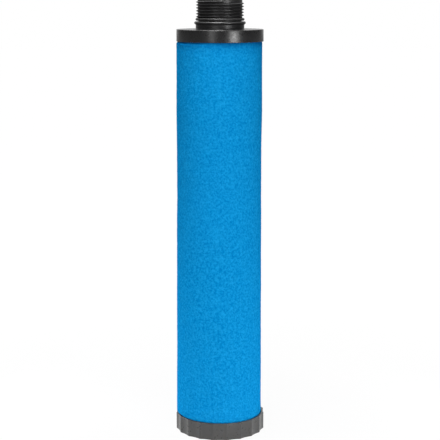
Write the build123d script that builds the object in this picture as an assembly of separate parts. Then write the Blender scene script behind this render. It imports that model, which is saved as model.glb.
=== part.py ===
from build123d import *
import os

# A fine filter cartridge for compressed air. It stands on its flat bottom cap with the
# threaded neck up. Air goes in through the neck and outwards through the folded medium
# and the foam sleeve. Millimetres, with the origin at the centre of the underside.

# Overall, from the underside to the top cap's face
body_height = 287.5

# Foam sleeve, which fills the bottom cap's well and is squeezed into the top cap's
foam_radius = 29.9
foam_wall = 4.9
foam_clearance = 0.1
foam_squeeze = 0.85
foam_squeeze_run = 1.0

# Top end cap
top_cap_side = 8.3
top_web = 2.6
top_skirt_wall = 1.1
top_edge_chamfer = 0.4

# Neck, with heights measured up from the top cap's face
neck_height = 20.7
neck_bore_radius = 11.5
collar_radius = 16.85
collar_height = 3.6
lip_radius = 17.55
lip_height = 1.2
lip_chamfer = 0.5
seal_groove_radius = 15.0
seal_groove_width = 3.0
thread_major_radius = 16.5
thread_lead_in = 1.0
pilot_height = 1.5

# Seal ring in the neck's groove, its round section drawn with a few flats
seal_section = 2.0
seal_flats = 8
seal_end_gap = 0.1

# Bottom end cap
bottom_cap_height = 12.2
bottom_web = 3.0
bottom_skirt_wall = 1.0
grip_scallops = 20
grip_depth = 1.0

# Resin beds in the two caps
top_resin_depth = 3.0
bottom_resin_depth = 3.0

# Inner core, slid over the top cap's spigot
core_radius = 13.0
core_wall = 0.6
core_slots = 6
core_slot_width = 7.0
spigot_clearance = 0.1
spigot_reach = 4.0

# Outer cage, which carries the foam
cage_wall = 0.6
cage_slots = 8
cage_slot_width = 10.0

# Slots of both support tubes
slot_rows = 3
end_band = 12.0
row_band = 6.0

# Folded medium
fold_count = 36
media_thickness = 1.0
fold_clearance = 0.2
outer_fold_width = 1.5
inner_fold_width = 1.1

# Heights that several pieces share
top_skirt_edge = body_height - top_cap_side
top_web_face = body_height - top_web
stack_top = top_web_face - top_resin_depth
stack_base = bottom_web + bottom_resin_depth
stack_height = stack_top - stack_base
seal_groove_base = body_height + collar_height + lip_height
seal_groove_top = seal_groove_base + seal_groove_width
neck_top = body_height + neck_height
pilot_base = neck_top - pilot_height

# Radii that several pieces share
foam_bore_radius = foam_radius - foam_wall
foam_top_radius = foam_radius - foam_squeeze
top_skirt_radius = foam_top_radius + foam_clearance
top_cap_radius = top_skirt_radius + top_skirt_wall
bottom_skirt_radius = foam_radius + foam_clearance
bottom_cap_radius = bottom_skirt_radius + bottom_skirt_wall + grip_depth
cage_outer_radius = foam_bore_radius - foam_clearance
cage_radius = cage_outer_radius - cage_wall
core_outer_radius = core_radius + core_wall
spigot_radius = core_radius - spigot_clearance


# Turn a closed outline of (radius, height) points about the upright axis
def turned(*points):
    outline = Polyline(*points, close=True)
    return revolve(make_face(Plane.XZ * outline), Axis.Z)


# A plain tube between two heights
def tube(inner_radius, outer_radius, base, height):
    ring = Circle(outer_radius) - Circle(inner_radius)
    return extrude(Pos(0, 0, base) * ring, amount=height)


# Top end cap: skirt, collar, lip, seal groove, threaded neck with its plain pilot, and
# the spigot that the core slides over, all one moulding
def make_top_end_cap():
    lip_base = body_height + collar_height
    return turned(
        (top_skirt_radius, top_skirt_edge),
        (top_cap_radius, top_skirt_edge),
        (top_cap_radius, body_height - top_edge_chamfer),
        (top_cap_radius - top_edge_chamfer, body_height),
        (collar_radius, body_height),
        (collar_radius, lip_base - lip_chamfer),
        (lip_radius, lip_base),
        (lip_radius, seal_groove_base),
        (seal_groove_radius, seal_groove_base),
        (seal_groove_radius, seal_groove_top),
        (thread_major_radius, seal_groove_top),
        (thread_major_radius, pilot_base - thread_lead_in),
        (thread_major_radius - thread_lead_in, pilot_base),
        (thread_major_radius - thread_lead_in, neck_top),
        (neck_bore_radius, neck_top),
        (neck_bore_radius, stack_top - spigot_reach),
        (spigot_radius, stack_top - spigot_reach),
        (spigot_radius, top_web_face),
        (top_skirt_radius, top_web_face),
    )


# Seal ring seated on the groove's floor, just under the thread
def make_neck_seal_ring():
    half = seal_section / 2
    section = RegularPolygon(half, seal_flats, major_radius=False, rotation=180 / seal_flats)
    centre = Pos(seal_groove_radius + half, seal_groove_top - seal_end_gap - half)
    return revolve(Plane.XZ * centre * section, Axis.Z)


# Outline of the bottom cap: shallow concave scallops between sharp cusps
def scalloped_outline():
    step = 360 / grip_scallops
    cusp = Vector(bottom_cap_radius, 0)
    floor = Vector(bottom_cap_radius - grip_depth, 0)
    arcs = [
        ThreePointArc(
            cusp.rotate(Axis.Z, step * (i - 0.5)),
            floor.rotate(Axis.Z, step * i),
            cusp.rotate(Axis.Z, step * (i + 0.5)),
        )
        for i in range(grip_scallops)
    ]
    return make_face(Curve() + arcs)


# Bottom end cap: a scalloped cup
def make_bottom_end_cap():
    cup = extrude(scalloped_outline(), amount=bottom_cap_height)
    well = Pos(0, 0, bottom_web) * Circle(bottom_skirt_radius)
    return cup - extrude(well, amount=bottom_cap_height)


# Resin cast round the spigot in the top cap
def make_top_resin_ring():
    return tube(spigot_radius, top_skirt_radius, stack_top, top_resin_depth)


# Resin cast over the whole floor of the bottom cap
def make_bottom_resin_disc():
    disc = Pos(0, 0, bottom_web) * Circle(bottom_skirt_radius)
    return extrude(disc, amount=bottom_resin_depth)


# Support tube with rows of upright slots, each row turned by half a pitch
def slotted_tube(inner_radius, wall, slots, slot_width):
    outer_radius = inner_radius + wall
    row_pitch = (stack_height - 2 * end_band + row_band) / slot_rows
    slot = Rectangle(row_pitch - row_band, slot_width)
    cutters = []
    for row in range(slot_rows):
        height = stack_base + end_band - row_band / 2 + row_pitch * (row + 0.5)
        for i in range(slots):
            turn = Rot(0, 0, 360 / slots * (i + row / 2))
            face = turn * Pos(0, 0, height) * Rot(0, 90, 0) * slot
            cutters.append(extrude(face, amount=outer_radius + wall))
    return tube(inner_radius, outer_radius, stack_base, stack_height) - cutters


# Mid line of the folded sheet, with flat fold tips
def fold_line():
    step = 360 / fold_count
    margin = fold_clearance + media_thickness / 2
    outer = cage_radius - margin
    inner = core_outer_radius + margin
    points = []
    for i in range(fold_count):
        for side in (-0.5, 0.5):
            tip = Vector(outer, side * outer_fold_width)
            points.append(tip.rotate(Axis.Z, step * i))
        for side in (-0.5, 0.5):
            tip = Vector(inner, side * inner_fold_width)
            points.append(tip.rotate(Axis.Z, step * (i + 0.5)))
    return points


# Closed line moved sideways by a distance, with mitred corners
def offset_line(points, distance):
    moved = []
    for before, here, after in zip(points[-1:] + points, points, points[1:] + points[:1]):
        first = (here - before).normalized().rotate(Axis.Z, -90)
        second = (after - here).normalized().rotate(Axis.Z, -90)
        moved.append(here + (first + second) * (distance / (1 + first.dot(second))))
    return moved


# Folded medium: one sheet of even thickness in deep upright pleats
def make_pleated_media():
    line = fold_line()
    half = media_thickness / 2
    outside = make_face(Polyline(*offset_line(line, half), close=True))
    inside = make_face(Polyline(*offset_line(line, -half), close=True))
    return extrude(Pos(0, 0, stack_base) * (outside - inside), amount=stack_height)


# Foam sleeve, stretched over the cage and squeezed where it enters the top cap
def make_foam_sleeve():
    return turned(
        (foam_bore_radius, stack_base),
        (foam_radius, stack_base),
        (foam_radius, top_skirt_edge - foam_squeeze_run),
        (foam_top_radius, top_skirt_edge),
        (foam_top_radius, stack_top),
        (foam_bore_radius, stack_top),
    )


sub_parts = {
    "top_end_cap": make_top_end_cap(),
    "neck_seal_ring": make_neck_seal_ring(),
    "top_resin_ring": make_top_resin_ring(),
    "inner_core": slotted_tube(core_radius, core_wall, core_slots, core_slot_width),
    "pleated_media": make_pleated_media(),
    "outer_cage": slotted_tube(cage_radius, cage_wall, cage_slots, cage_slot_width),
    "foam_sleeve": make_foam_sleeve(),
    "bottom_resin_disc": make_bottom_resin_disc(),
    "bottom_end_cap": make_bottom_end_cap(),
}

os.makedirs("parts", exist_ok=True)
for name, solid in sub_parts.items():
    export_step(solid, f"parts/{name}.step")
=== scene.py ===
import math

import bmesh
import bpy
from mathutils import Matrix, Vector, noise


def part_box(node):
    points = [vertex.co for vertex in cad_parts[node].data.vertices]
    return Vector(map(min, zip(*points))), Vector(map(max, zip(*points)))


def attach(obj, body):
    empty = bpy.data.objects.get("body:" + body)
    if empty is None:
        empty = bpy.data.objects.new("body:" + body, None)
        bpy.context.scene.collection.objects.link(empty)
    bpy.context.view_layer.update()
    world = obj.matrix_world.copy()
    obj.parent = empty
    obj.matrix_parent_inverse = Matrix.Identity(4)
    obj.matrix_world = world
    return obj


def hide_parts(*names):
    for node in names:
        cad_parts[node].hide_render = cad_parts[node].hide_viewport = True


# Looks of a compressed-air filter cartridge: moulded caps, a cut thread, a rubber seal
# ring and a blue foam sleeve. The scene is in metres. Sizes of the part are written in
# millimetres, and sizes of the studio in metres.

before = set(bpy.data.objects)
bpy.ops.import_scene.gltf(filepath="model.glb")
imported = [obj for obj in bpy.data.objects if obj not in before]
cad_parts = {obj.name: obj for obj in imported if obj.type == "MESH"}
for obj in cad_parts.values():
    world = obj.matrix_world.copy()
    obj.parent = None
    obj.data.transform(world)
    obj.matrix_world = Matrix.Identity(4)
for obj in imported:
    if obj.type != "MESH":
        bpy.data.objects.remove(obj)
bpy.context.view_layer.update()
MM = 0.001

# Sizes read from the frame
cap_low, cap_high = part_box("top_end_cap")
foam_low, foam_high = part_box("foam_sleeve")
seal_low, seal_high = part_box("neck_seal_ring")
foot_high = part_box("bottom_end_cap")[1]
resin_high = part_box("top_resin_ring")[1]
CAP_RADIUS = cap_high.x / MM
CAP_WEB_FACE = resin_high.z / MM
CAP_SKIRT_RADIUS = resin_high.x / MM
NECK_TOP = cap_high.z / MM
SPIGOT_END = cap_low.z / MM
FOAM_BASE = foam_low.z / MM
FOAM_TOP = foam_high.z / MM
SEAL_RADIUS = seal_high.x / MM
SEAL_LOW = seal_low.z / MM
SEAL_HIGH = seal_high.z / MM
FOOT_HEIGHT = foot_high.z / MM

# Top cap and neck
CAP_FACE = NECK_TOP - 20.7
CAP_UNDERSIDE = CAP_FACE - 8.3
CAP_EDGE_CHAMFER = 0.2
CAP_EDGE_DROP = 0.26
COLLAR_RADIUS = 16.85
COLLAR_HEIGHT = 3.6
LIP_RADIUS = 17.85
LIP_HEIGHT = 1.7
LIP_CHAMFER = 0.48
LIP_CHAMFER_DROP = 0.63
LIP_FLANK_RISE = 0.4
LIP_FLANK_DROP = 0.5
GROOVE_RADIUS = 15.0
GROOVE_WIDTH = 2.5
GROOVE_LAND = 0.2
BORE_RADIUS = 11.5
SPIGOT_RADIUS = 12.9
PILOT_RADIUS = 15.5
PILOT_LAND = 0.3

# Rounding of the top cap's edges
CRISP_ROUND = 0.08
LIP_ROUND = 0.1
LIP_FLANK_ROUND = 0.12
COLLAR_ROUND = 0.15
SKIRT_ROUND = 0.2
CORNER_ROUND = 0.3
BORE_MOUTH_ROUND = 0.5

# Right-handed thread, whose top end runs out near the front
THREAD_RADIUS = 16.5
THREAD_PITCH = 2.0
THREAD_DEPTH = 1.23
THREAD_TOP_CREST = NECK_TOP - 1.55
THREAD_START_TURN = 285
THREAD_RUN_OUT = 24
THREAD_FOOT_STEP = 0.25
THREAD_FOOT_BEVEL = 2.6
THREAD_COLUMNS = 192
# Axial offset from the crest and share of the depth, over one pitch
THREAD_PROFILE = [
    (-0.17, 0.0), (0.0, 0.0), (0.17, 0.0), (0.32, 0.18), (0.62, 0.68),
    (0.82, 0.96), (1.0, 1.0), (1.18, 0.96), (1.38, 0.68), (1.68, 0.18),
]

# Seal ring
SEAL_SQUEEZE = 0.07
SEAL_CLEARANCE = 0.02
SEAL_ROWS = 28
SEAL_COLUMNS = 160

# Bottom cap
FOOT_RADIUS = 32.0
FOOT_SCALLOPS = 20
FOOT_DEPTH = 1.0
FOOT_CUSP_LAND = 0.07
FOOT_BASE_LAND = 2
FOOT_WELL_RADIUS = 30.0
FOOT_WELL_LAND = 0.2
FOOT_WEB = 3.0
FOOT_EDGE_ROUND = 0.3
FOOT_LOWER_ROUND = 0.7
FOOT_WELL_ROUND = 0.15
SCALLOP_COLUMNS = 24

# Foam sleeve: radius by height, as it bulges between the caps
FOAM_BORE_RADIUS = 25.0
FOAM_PROFILE = [
    (13.0, 30.6), (30.0, 30.45), (65.0, 30.25), (95.0, 30.1), (150.0, 30.0),
    (175.0, 29.7), (205.0, 29.7), (235.0, 30.0), (262.0, 29.85), (277.0, 29.8),
]
# Radius inside each cap, and how far from the cap's edge the foam is held and is free
FOAM_FOOT_TUCK = 29.3
FOAM_HEAD_TUCK = 29.05
FOAM_FOOT_HELD = 0.9
FOAM_FOOT_FREE = 1.3
FOAM_HEAD_FREE = 1.4
FOAM_HEAD_HELD = 0.3
# Sideways shift at each end, and depth and width of the surface's waves
FOAM_SHIFT_FOOT = -0.8
FOAM_SHIFT_HEAD = -0.45
FOAM_SWELL = [(0.18, 38)]
FOAM_PITS = [(0.09, 2.6), (0.06, 1.3)]
# How far below the top cap the painted shade on the foam reaches, in millimetres
FOAM_SHADE_REACH = 12
FOAM_COLUMNS = 240
FOAM_ROWS = 340

# Modelling: angles in degrees over which an edge stays sharp, and tolerances
MOULDED_SHARP = 28
SOFT_SHARP = 60
SAME_HEIGHT_MM = 1e-3
SAME_PLACE = 1e-7

# Range that a noise texture's value mostly keeps to
NOISE_LOW = 0.3
NOISE_HIGH = 0.7

# Floor: how pale it is and how much it glows, by distance from the part
FLOOR_REACH = 6.0
FLOOR_NEAR = 0.12
FLOOR_FAR = 0.45
FLOOR_PALE_NEAR = 0.75
FLOOR_PALE_FAR = 0.3
FLOOR_GLOW_NEAR = 1.0
FLOOR_GLOW_FAR = 1.063
FLOOR_GLOW_SEEN = 0.94

# World: soft light from the left and right, and what reflections see of the room. The
# ranges are shares of a direction, along which the room brightens.
LIGHT_LEFT = 0.24
LIGHT_RIGHT = 0.05
ROOM_FRONT = 0.14
ROOM_BACK = 1.0
ROOM_ABOVE = 0.8
BACK_RANGE = (0.67, 0.96)
ABOVE_RANGE = (0.35, 0.85)

# Softboxes: turn to the viewer's right in degrees, distance, height, width and height of
# the panel, watts, and the point that it is aimed at
SOFTBOXES = {
    "key": (37, 1.1, 0.17, (0.36, 0.30), 4.8, (0, 0, 0.18)),
    "fill": (-21, 1.2, 0.5, (0.24, 1.1), 3.35, (0, 0, 0.18)),
    "front": (0, 1.6, 1.6, (1.0, 0.8), 9.1, (0, 0, 0.15)),
    "top": (190, 0.25, 0.8, (0.8, 0.7), 3.5, (-0.04, 0.25, 0)),
    "crown": (-28, 0.15, 0.75, (0.36, 0.08), 2.3, (0, 0, 0.29)),
    "low_left": (-100, 0.2, 0.04, (0.14, 0.06), 0.14, (0, 0, 0.05)),
    "low_right": (95, 0.2, 0.04, (0.14, 0.06), 0.1, (0, 0, 0.05)),
}

# Camera: distance from the axis, height above the cap's face, tilt below level, and lens
CAMERA_DISTANCE = 0.9
CAMERA_RISE = 0.027
CAMERA_TILT = 10.165
CAMERA_LENS = 105.15


# Eased step from 0 to 1
def smooth(t):
    return t * t * (3 - 2 * t)


# Corner-rounded copy of a path of (radius, height, rounding) points
def rounded(path, steps=4):
    points = []
    for i, (r, z, size) in enumerate(path):
        here = Vector((r, z))
        if size == 0 or i in (0, len(path) - 1):
            points.append((r, z))
            continue
        before = Vector(path[i - 1][:2])
        after = Vector(path[i + 1][:2])
        start = here + (before - here).normalized() * size
        end = here + (after - here).normalized() * size
        for step in range(steps + 1):
            t = step / steps
            point = start * (1 - t) ** 2 + here * (2 * t * (1 - t)) + end * t**2
            points.append((point.x, point.y))
    return points


# A new object in the scene, smooth but with its sharp edges kept
def add_object(name, mesh, sharp_degrees):
    mesh.shade_smooth()
    mesh.set_sharp_from_angle(angle=math.radians(sharp_degrees))
    piece = bpy.data.objects.new(name, mesh)
    bpy.context.scene.collection.objects.link(piece)
    return piece


# Mesh from rings of points that all have one length. It closes into a ring itself, or ends
# in a flat cap at its first and last ring.
def ring_mesh(name, rings, closed=True):
    columns = len(rings[0])
    points = [Vector(p) * MM for ring in rings for p in ring]
    faces = []
    last = len(rings) if closed else len(rings) - 1
    for j in range(last):
        low = j * columns
        high = (j + 1) % len(rings) * columns
        for i in range(columns):
            k = (i + 1) % columns
            faces.append((low + i, low + k, high + k, high + i))
    if not closed:
        faces.append(tuple(reversed(range(columns))))
        top = (len(rings) - 1) * columns
        faces.append(tuple(top + i for i in range(columns)))
    mesh = bpy.data.meshes.new(name)
    mesh.from_pydata(points, [], faces)
    return mesh


# Point at a turn (degrees), radius and height
def polar(turn, radius, height):
    angle = math.radians(turn)
    return (radius * math.cos(angle), radius * math.sin(angle), height)


# Thread radius at a height: never past the bevel at its foot
def thread_limit(height, foot):
    bevel = GROOVE_RADIUS + THREAD_FOOT_STEP + (height - foot) * THREAD_FOOT_BEVEL
    return min(THREAD_RADIUS, bevel)


# Share of its full height that the thread has at a column: it fades out at its top end
def thread_strength(column):
    return smooth(min(max(-360 * column / THREAD_COLUMNS / THREAD_RUN_OUT, 0), 1))


# Helical ribbon of the thread and of the plain pilot above it, cut square at both ends
def thread_surface(bm, foot, top):
    turns_down = math.ceil((THREAD_TOP_CREST - foot) / THREAD_PITCH) + 1
    turns_up = math.ceil((top - THREAD_TOP_CREST) / THREAD_PITCH) + 1
    first = -turns_down * THREAD_COLUMNS
    last = turns_up * THREAD_COLUMNS
    rows = {}
    for i in range(first, last + THREAD_COLUMNS + 1):
        turn = THREAD_START_TURN + 360 * i / THREAD_COLUMNS
        centre = THREAD_TOP_CREST + THREAD_PITCH * i / THREAD_COLUMNS
        for j, (offset, share) in enumerate(THREAD_PROFILE):
            crest = i if offset < THREAD_PITCH / 2 else i + THREAD_COLUMNS
            cut = THREAD_RADIUS - THREAD_DEPTH * share
            radius = PILOT_RADIUS + (cut - PILOT_RADIUS) * thread_strength(crest)
            rows[i, j] = bm.verts.new(Vector(polar(turn, radius, centre + offset)) * MM)
    count = len(THREAD_PROFILE)
    for i in range(first, last):
        for j in range(count):
            if j < count - 1:
                up = (rows[i + 1, j + 1], rows[i, j + 1])
            else:
                up = (rows[i + 1 + THREAD_COLUMNS, 0], rows[i + THREAD_COLUMNS, 0])
            bm.faces.new((rows[i, j], rows[i + 1, j], *up))
    for height, side in ((foot, -1), (top, 1)):
        bmesh.ops.bisect_plane(
            bm,
            geom=bm.verts[:] + bm.edges[:] + bm.faces[:],
            plane_co=(0, 0, height * MM),
            plane_no=(0, 0, side),
            clear_outer=True,
        )
    loose = [v for v in bm.verts if not v.link_faces]
    bmesh.ops.delete(bm, geom=loose, context="VERTS")
    bmesh.ops.remove_doubles(bm, verts=bm.verts[:], dist=SAME_PLACE)
    for v in bm.verts:
        radius = math.hypot(v.co.x, v.co.y) / MM
        keep = min(radius, thread_limit(v.co.z / MM, foot)) / radius
        v.co.x *= keep
        v.co.y *= keep


# Open edges of a surface that lie at a height
def open_edges(bm, height):
    return [
        e for e in bm.edges
        if e.is_boundary and all(abs(v.co.z / MM - height) < SAME_HEIGHT_MM for v in e.verts)
    ]


# Carry an open edge loop on along a path of (radius, height), and return the last loop.
# It makes its faces in the loop's own order, so the mesh is the same each run.
def carry_on(bm, edges, path):
    for radius, height in path:
        moved = {}
        for v in [v for e in edges for v in e.verts]:
            if v not in moved:
                angle = math.atan2(v.co.y, v.co.x)
                spot = (radius * math.cos(angle), radius * math.sin(angle), height)
                moved[v] = bm.verts.new(Vector(spot) * MM)
        for loop in [e.link_loops[0] for e in edges]:
            a, b = loop.link_loop_next.vert, loop.vert
            bm.faces.new((a, b, moved[b], moved[a]))
        edges = [bm.edges.get([moved[v] for v in e.verts]) for e in edges]
    return edges


# Top cap in one piece: thread, pilot, seal groove, lip, collar, disc, skirt and spigot
def make_top_cap():
    bm = bmesh.new()
    lip_low = CAP_FACE + COLLAR_HEIGHT
    lip_high = lip_low + LIP_HEIGHT
    groove_high = lip_high + GROOVE_WIDTH
    thread_surface(bm, groove_high, NECK_TOP)
    outside = rounded([
        (GROOVE_RADIUS + GROOVE_LAND, groove_high, 0),
        (GROOVE_RADIUS, groove_high, CRISP_ROUND),
        (GROOVE_RADIUS, lip_high, CORNER_ROUND),
        (LIP_RADIUS - LIP_CHAMFER, lip_high, LIP_ROUND),
        (LIP_RADIUS, lip_high - LIP_CHAMFER_DROP, LIP_ROUND),
        (LIP_RADIUS, lip_low + LIP_FLANK_RISE, LIP_FLANK_ROUND),
        (COLLAR_RADIUS, lip_low - LIP_FLANK_DROP, COLLAR_ROUND),
        (COLLAR_RADIUS, CAP_FACE, CORNER_ROUND),
        (CAP_RADIUS - CAP_EDGE_CHAMFER, CAP_FACE, CRISP_ROUND),
        (CAP_RADIUS, CAP_FACE - CAP_EDGE_DROP, CRISP_ROUND),
        (CAP_RADIUS, CAP_UNDERSIDE, SKIRT_ROUND),
        (CAP_SKIRT_RADIUS, CAP_UNDERSIDE, SKIRT_ROUND),
        (CAP_SKIRT_RADIUS, CAP_WEB_FACE, 0),
    ])
    inside = rounded([
        (PILOT_RADIUS - PILOT_LAND, NECK_TOP, 0),
        (BORE_RADIUS, NECK_TOP, BORE_MOUTH_ROUND),
        (BORE_RADIUS, SPIGOT_END, CORNER_ROUND),
        (SPIGOT_RADIUS, SPIGOT_END, CORNER_ROUND),
        (SPIGOT_RADIUS, CAP_WEB_FACE, 0),
    ])
    skirt = carry_on(bm, open_edges(bm, groove_high), outside)
    spigot = carry_on(bm, open_edges(bm, NECK_TOP), inside)
    bmesh.ops.bridge_loops(bm, edges=skirt + spigot)
    bmesh.ops.recalc_face_normals(bm, faces=bm.faces[:])
    mesh = bpy.data.meshes.new("top_cap_shell")
    bm.to_mesh(mesh)
    bm.free()
    return add_object("top_cap_shell", mesh, MOULDED_SHARP)


# Round seal ring, pressed a little flat against the groove's floor
def make_seal_ring():
    section = (SEAL_HIGH - SEAL_LOW) / 2 - SEAL_SQUEEZE
    middle = (SEAL_HIGH + SEAL_LOW) / 2 + SEAL_SQUEEZE
    centre = SEAL_RADIUS - section
    turns = [360 * i / SEAL_COLUMNS for i in range(SEAL_COLUMNS)]
    rings = []
    for j in range(SEAL_ROWS):
        angle = 2 * math.pi * j / SEAL_ROWS
        radius = max(centre + section * math.cos(angle), GROOVE_RADIUS + SEAL_CLEARANCE)
        height = middle + section * math.sin(angle)
        rings.append([polar(turn, radius, height) for turn in turns])
    return add_object("seal_ring", ring_mesh("seal_ring", rings), SOFT_SHARP)


# Radius of the scalloped outline at a turn, with a narrow land on each cusp
def scallop_radius(turn):
    step = 360 / FOOT_SCALLOPS
    half = math.radians(step / 2)
    local = math.radians((turn + step / 2) % step - step / 2)
    floor = FOOT_RADIUS - FOOT_DEPTH
    rise = FOOT_RADIUS * math.cos(half) - floor
    arc = (rise**2 + (FOOT_RADIUS * math.sin(half)) ** 2) / (2 * rise)
    centre = floor + arc
    hollow = centre * math.cos(local) - math.sqrt(arc**2 - (centre * math.sin(local)) ** 2)
    return min(hollow, FOOT_RADIUS - FOOT_CUSP_LAND)


# Bottom cap: scalloped cup with softly broken edges
def make_bottom_cap():
    columns = FOOT_SCALLOPS * SCALLOP_COLUMNS
    turns = [360 * i / columns for i in range(columns)]
    floor = FOOT_RADIUS - FOOT_DEPTH
    outer = rounded([
        (floor - FOOT_BASE_LAND, 0, 0),
        (floor, 0, FOOT_LOWER_ROUND),
        (floor, FOOT_HEIGHT, FOOT_EDGE_ROUND),
        (FOOT_WELL_RADIUS, FOOT_HEIGHT, 0),
    ])
    rings = []
    for radius, height in outer[:-1]:
        inset = floor - radius
        rings.append([polar(turn, scallop_radius(turn) - inset, height) for turn in turns])
    well = rounded([
        (FOOT_WELL_RADIUS + FOOT_WELL_LAND, FOOT_HEIGHT, 0),
        (FOOT_WELL_RADIUS, FOOT_HEIGHT, FOOT_WELL_ROUND),
        (FOOT_WELL_RADIUS, FOOT_WEB, 0),
    ])
    for radius, height in well:
        rings.append([polar(turn, radius, height) for turn in turns])
    mesh = ring_mesh("bottom_cap_shell", rings, closed=False)
    return add_object("bottom_cap_shell", mesh, MOULDED_SHARP)


# Value at a height along a list of (height, value) points, eased between them
def eased(points, height):
    if height <= points[0][0]:
        return points[0][1]
    for (low, a), (high, b) in zip(points, points[1:]):
        if height <= high:
            return a + (b - a) * smooth((height - low) / (high - low))
    return points[-1][1]


# How far the foam shows its free shape at a height: none inside the caps
def foam_freedom(height):
    stages = [
        (FOOT_HEIGHT - FOAM_FOOT_HELD, 0),
        (FOOT_HEIGHT + FOAM_FOOT_FREE, 1),
        (CAP_UNDERSIDE - FOAM_HEAD_FREE, 1),
        (CAP_UNDERSIDE + FOAM_HEAD_HELD, 0),
    ]
    return eased(stages, height)


# Height of the surface's waves, a list of (depth, width), at a spot
def waves(spot, sizes):
    return sum(depth * noise.noise(spot / width) for depth, width in sizes)


# Foam sleeve: a soft tube that bulges between the caps, with a pitted surface
def make_foam_sleeve():
    turns = [360 * i / FOAM_COLUMNS for i in range(FOAM_COLUMNS)]
    middle = (FOAM_BASE + FOAM_TOP) / 2
    rings = []
    for j in range(FOAM_ROWS + 1):
        height = FOAM_BASE + (FOAM_TOP - FOAM_BASE) * j / FOAM_ROWS
        free = foam_freedom(height)
        tuck = FOAM_FOOT_TUCK if height < middle else FOAM_HEAD_TUCK
        base = tuck + (eased(FOAM_PROFILE, height) - tuck) * free
        climb = (height - FOAM_BASE) / (FOAM_TOP - FOAM_BASE)
        shift = (FOAM_SHIFT_FOOT + (FOAM_SHIFT_HEAD - FOAM_SHIFT_FOOT) * climb) * free
        ring = []
        for turn in turns:
            spot = Vector(polar(turn, base, height))
            radius = base + (waves(spot, FOAM_SWELL) + waves(spot, FOAM_PITS)) * free
            x, y, z = polar(turn, radius, height)
            ring.append((x + shift, y, z))
        rings.append(ring)
    rings.append([polar(turn, FOAM_BORE_RADIUS, FOAM_TOP) for turn in turns])
    rings.append([polar(turn, FOAM_BORE_RADIUS, FOAM_BASE) for turn in turns])
    return add_object("blue_foam", ring_mesh("blue_foam", rings), SOFT_SHARP)


# New node in the tree of a material or the world
def add_node(owner, kind):
    return owner.node_tree.nodes.new("ShaderNode" + kind)


# A material with its main shader
def new_material(name, colour, roughness, specular=0.5):
    material = bpy.data.materials.new(name)
    material.use_nodes = True
    shader = material.node_tree.nodes["Principled BSDF"]
    shader.inputs["Base Color"].default_value = (*colour, 1)
    shader.inputs["Roughness"].default_value = roughness
    shader.inputs["Specular IOR Level"].default_value = specular
    return material, shader


# Noise in the object's own millimetres
def add_noise(material, size_mm, detail=2.0, stretch=(1, 1, 1)):
    link = material.node_tree.links.new
    place = add_node(material, "TexCoord")
    scale = add_node(material, "Mapping")
    scale.inputs["Scale"].default_value = [s / (size_mm * MM) for s in stretch]
    grain = add_node(material, "TexNoise")
    grain.inputs["Scale"].default_value = 1.0
    grain.inputs["Detail"].default_value = detail
    link(place.outputs["Object"], scale.inputs["Vector"])
    link(scale.outputs["Vector"], grain.inputs["Vector"])
    return grain.outputs["Fac"]


# Map a grey value from start and end to low and high
def remap(owner, value, low, high, start=NOISE_LOW, end=NOISE_HIGH):
    node = add_node(owner, "MapRange")
    node.inputs["From Min"].default_value = start
    node.inputs["From Max"].default_value = end
    node.inputs["To Min"].default_value = low
    node.inputs["To Max"].default_value = high
    owner.node_tree.links.new(value, node.inputs["Value"])
    return node.outputs["Result"]


# Blend two colours by a grey value
def blend_colours(material, value, dark, light, start=NOISE_LOW, end=NOISE_HIGH):
    ramp = add_node(material, "ValToRGB")
    for stop, place, colour in zip(ramp.color_ramp.elements, (start, end), (dark, light)):
        stop.position = place
        stop.color = (*colour, 1)
    material.node_tree.links.new(value, ramp.inputs["Fac"])
    return ramp.outputs["Color"]


# Blend two shaders by a grey value
def blend_shaders(owner, value, first, second):
    node = add_node(owner, "MixShader")
    for source, socket in zip((value, first, second), node.inputs):
        owner.node_tree.links.new(source, socket)
    return node.outputs["Shader"]


# Raise the surface by a grey value, for a depth in millimetres
def add_bump(material, shader, value, depth_mm):
    bump = add_node(material, "Bump")
    bump.inputs["Strength"].default_value = 1.0
    bump.inputs["Distance"].default_value = depth_mm * MM
    material.node_tree.links.new(value, bump.inputs["Height"])
    material.node_tree.links.new(bump.outputs["Normal"], shader.inputs["Normal"])


# Height in the object's own frame
def add_height(material):
    place = add_node(material, "TexCoord")
    split = add_node(material, "SeparateXYZ")
    material.node_tree.links.new(place.outputs["Object"], split.inputs["Vector"])
    return split.outputs["Z"]


# Result of a maths node for values that come from other nodes or are numbers
def combine(owner, operation, *values):
    node = add_node(owner, "Math")
    node.operation = operation
    for socket, value in zip(node.inputs, values):
        if isinstance(value, bpy.types.NodeSocket):
            owner.node_tree.links.new(value, socket)
        else:
            socket.default_value = value
    return node.outputs["Value"]


# Moulded plastic: faint flow clouding, a fine spark-eroded grain, and a duller neck
def plastic(name, dark, light, roughness, duller=0.0):
    material, shader = new_material(name, dark, roughness)
    link = material.node_tree.links.new
    clouds = add_noise(material, size_mm=9)
    link(blend_colours(material, clouds, dark, light), shader.inputs["Base Color"])
    patches = add_noise(material, size_mm=2.2)
    patches = remap(material, patches, low=roughness - 0.04, high=roughness + 0.05)
    face = CAP_FACE * MM
    neck = remap(material, add_height(material), 0.0, duller, start=face, end=face + MM)
    link(combine(material, "ADD", patches, neck), shader.inputs["Roughness"])
    add_bump(material, shader, add_noise(material, size_mm=0.5, detail=1.0), depth_mm=0.003)
    return material


# Seal ring's rubber: black, with a fine matt skin
def rubber():
    material, shader = new_material("seal_rubber", colour=(0.012, 0.012, 0.012), roughness=0.4)
    add_bump(material, shader, add_noise(material, size_mm=0.35, detail=1.0), depth_mm=0.008)
    clouds = add_noise(material, size_mm=3)
    shade = blend_colours(material, clouds, (0.009, 0.009, 0.009), (0.017, 0.017, 0.017))
    material.node_tree.links.new(shade, shader.inputs["Base Color"])
    return material
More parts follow.
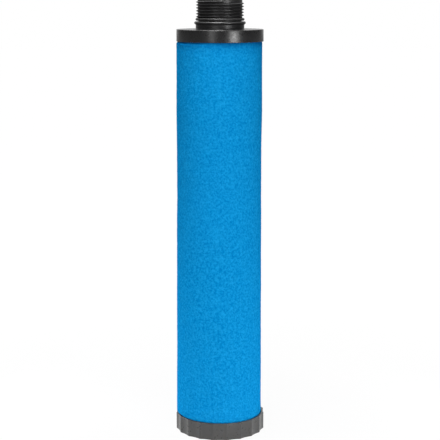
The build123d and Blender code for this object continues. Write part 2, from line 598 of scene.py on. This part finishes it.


# Open-cell foam, with painted shade in a band under the top cap
def foam():
    material, shader = new_material(
        "blue_foam", colour=(0.003, 0.26, 0.6), roughness=0.95, specular=0.0
    )
    link = material.node_tree.links.new
    cells = add_noise(material, size_mm=1.4, detail=3.0)
    shade = blend_colours(
        material, cells, (0.0005, 0.2, 0.53), (0.0085, 0.315, 0.68), start=0.34, end=0.66
    )
    # Painted shade under the top cap: a patchy darker blue that deepens towards the cap's edge
    edge = CAP_UNDERSIDE * MM
    reach = FOAM_SHADE_REACH * MM
    near = remap(material, add_height(material), 0, 1, start=edge - reach, end=edge)
    cubed = combine(material, "MULTIPLY", near, combine(material, "MULTIPLY", near, near))
    patches = remap(material, add_noise(material, size_mm=14), low=0.6, high=1)
    band = add_node(material, "Mix")
    band.data_type = "RGBA"
    unshaded, painted_shade = [s for s in band.inputs if s.type == "RGBA"]
    link(combine(material, "MULTIPLY", cubed, patches), band.inputs["Factor"])
    link(shade, unshaded)
    painted_shade.default_value = (0.001, 0.08, 0.28, 1)
    blended = [s for s in band.outputs if s.type == "RGBA"][0]
    link(blended, shader.inputs["Base Color"])
    add_bump(material, shader, add_noise(material, size_mm=0.9), depth_mm=0.25)
    return material


# Support tubes' steel, brushed along its height
def brushed_steel():
    material, shader = new_material("support_steel", colour=(0.55, 0.55, 0.56), roughness=0.35)
    shader.inputs["Metallic"].default_value = 1.0
    lines = add_noise(material, size_mm=0.6, stretch=(1, 1, 0.05))
    gloss = remap(material, lines, low=0.25, high=0.45)
    material.node_tree.links.new(gloss, shader.inputs["Roughness"])
    add_bump(material, shader, lines, depth_mm=0.01)
    return material


# Folded filter medium: fibrous off-white paper
def filter_paper():
    material, shader = new_material(
        "filter_medium", colour=(0.82, 0.81, 0.77), roughness=0.9, specular=0.2
    )
    fibres = add_noise(material, size_mm=0.5, detail=4.0)
    shade = blend_colours(material, fibres, (0.72, 0.71, 0.67), (0.86, 0.85, 0.82))
    material.node_tree.links.new(shade, shader.inputs["Base Color"])
    add_bump(material, shader, fibres, depth_mm=0.05)
    return material


# Resin beds: cloudy amber
def cast_resin():
    material, shader = new_material("resin", colour=(0.68, 0.6, 0.42), roughness=0.3)
    clouds = add_noise(material, size_mm=6)
    shade = blend_colours(material, clouds, (0.62, 0.54, 0.37), (0.72, 0.64, 0.46))
    material.node_tree.links.new(shade, shader.inputs["Base Color"])
    return material


# Pieces that replace their nodes
black = plastic(
    "black_cap", (0.007, 0.007, 0.0073), (0.01, 0.01, 0.0105), roughness=0.29, duller=0.1
)
grey = plastic("grey_cap", (0.052, 0.052, 0.051), (0.062, 0.061, 0.059), roughness=0.3)
dressed = [
    (make_top_cap(), "top_end_cap", "top_cap_plastic", black),
    (make_seal_ring(), "neck_seal_ring", "seal_rubber", rubber()),
    (make_bottom_cap(), "bottom_end_cap", "bottom_cap_plastic", grey),
    (make_foam_sleeve(), "foam_sleeve", "blue_foam", foam()),
]
for piece, node, slot_name, material in dressed:
    piece.data.materials.append(material)
    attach(piece, "root")
    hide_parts(node)

# Inner pieces keep their CAD shape and get a better material
steel = brushed_steel()
resin = cast_resin()
inner = {
    "inner_core": steel,
    "outer_cage": steel,
    "pleated_media": filter_paper(),
    "top_resin_ring": resin,
    "bottom_resin_disc": resin,
}
for node, material in inner.items():
    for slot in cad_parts[node].material_slots:
        slot.material = material


# White floor that keeps a faint shadow, palest round the part in reflected light
def make_floor():
    mesh = bpy.data.meshes.new("floor")
    signs = [(-1, -1), (1, -1), (1, 1), (-1, 1)]
    corners = [(x * FLOOR_REACH, y * FLOOR_REACH, 0) for x, y in signs]
    mesh.from_pydata(corners, [], [(0, 1, 2, 3)])
    floor = bpy.data.objects.new("floor", mesh)
    bpy.context.scene.collection.objects.link(floor)
    material, shader = new_material(
        "floor_white", colour=(0.8, 0.8, 0.8), roughness=0.9, specular=0.0
    )
    link = material.node_tree.links.new
    place = add_node(material, "TexCoord")
    away = add_node(material, "VectorMath")
    away.operation = "LENGTH"
    link(place.outputs["Object"], away.inputs[0])
    span = (FLOOR_NEAR, FLOOR_FAR)
    pale = remap(material, away.outputs["Value"], FLOOR_PALE_NEAR, FLOOR_PALE_FAR, *span)
    link(pale, shader.inputs["Base Color"])
    strength = remap(material, away.outputs["Value"], FLOOR_GLOW_NEAR, FLOOR_GLOW_FAR, *span)
    glow = add_node(material, "Emission")
    link(strength, glow.inputs["Strength"])
    rays = add_node(material, "LightPath").outputs
    seen = combine(material, "MULTIPLY", rays["Is Camera Ray"], FLOOR_GLOW_SEEN)
    share = combine(material, "MULTIPLY_ADD", rays["Is Glossy Ray"], pale, seen)
    surface = blend_shaders(material, share, shader.outputs["BSDF"], glow.outputs["Emission"])
    link(surface, material.node_tree.nodes["Material Output"].inputs["Surface"])
    floor.data.materials.append(material)


# White light from all round, for a strength that comes from another node or is a number
def white_light(world, strength):
    node = add_node(world, "Background")
    node.inputs["Color"].default_value = (1, 1, 1, 1)
    if isinstance(strength, bpy.types.NodeSocket):
        world.node_tree.links.new(strength, node.inputs["Strength"])
    else:
        node.inputs["Strength"].default_value = strength
    return node.outputs["Background"]


# World: white where the camera looks. Reflections see white behind and above the part and
# a darker room beside the camera, and the rest is plain soft light.
def make_world():
    world = bpy.data.worlds.new("studio")
    world.use_nodes = True
    nodes = world.node_tree.nodes
    link = world.node_tree.links.new
    place = add_node(world, "TexCoord")
    way = add_node(world, "SeparateXYZ")
    link(place.outputs["Generated"], way.inputs["Vector"])
    side = remap(world, way.outputs["X"], LIGHT_LEFT, LIGHT_RIGHT, -1.0, 1.0)
    back = remap(world, way.outputs["Y"], ROOM_FRONT, ROOM_BACK, *BACK_RANGE)
    above = remap(world, way.outputs["Z"], ROOM_FRONT, ROOM_ABOVE, *ABOVE_RANGE)
    room = combine(world, "MAXIMUM", back, above)
    rays = add_node(world, "LightPath").outputs
    clear = combine(world, "MAXIMUM", rays["Is Camera Ray"], rays["Is Transmission Ray"])
    nodes.remove(nodes["Background"])
    lit = blend_shaders(
        world, rays["Is Glossy Ray"], white_light(world, side), white_light(world, room)
    )
    surface = blend_shaders(world, clear, lit, white_light(world, 1.0))
    link(surface, nodes["World Output"].inputs["Surface"])
    bpy.context.scene.world = world


# Softbox aimed at a point on the cartridge, by turn to the viewer's right, and height
def softbox(name, turn, distance, height, size, power, aim):
    lamp = bpy.data.lights.new(name, "AREA")
    lamp.shape = "RECTANGLE"
    lamp.size, lamp.size_y = size
    lamp.energy = power
    box = bpy.data.objects.new(name, lamp)
    angle = math.radians(turn)
    place = Vector((distance * math.sin(angle), -distance * math.cos(angle), height))
    box.location = place
    box.rotation_euler = (Vector(aim) - place).to_track_quat("-Z", "Y").to_euler()
    bpy.context.scene.collection.objects.link(box)


# Camera at the photograph's place: level heading, tipped down
def make_camera():
    lens = bpy.data.cameras.new("camera")
    lens.sensor_width = 36
    lens.lens = CAMERA_LENS
    lens.clip_start = 0.01
    lens.clip_end = 50
    camera = bpy.data.objects.new("camera", lens)
    camera.location = (0, -CAMERA_DISTANCE, CAP_FACE * MM + CAMERA_RISE)
    camera.rotation_euler = (math.radians(90 - CAMERA_TILT), 0, 0)
    bpy.context.scene.collection.objects.link(camera)
    bpy.context.scene.camera = camera


make_floor()
make_world()
for name, facts in SOFTBOXES.items():
    softbox(name, *facts)
make_camera()
bpy.context.scene.view_settings.view_transform = "Standard"
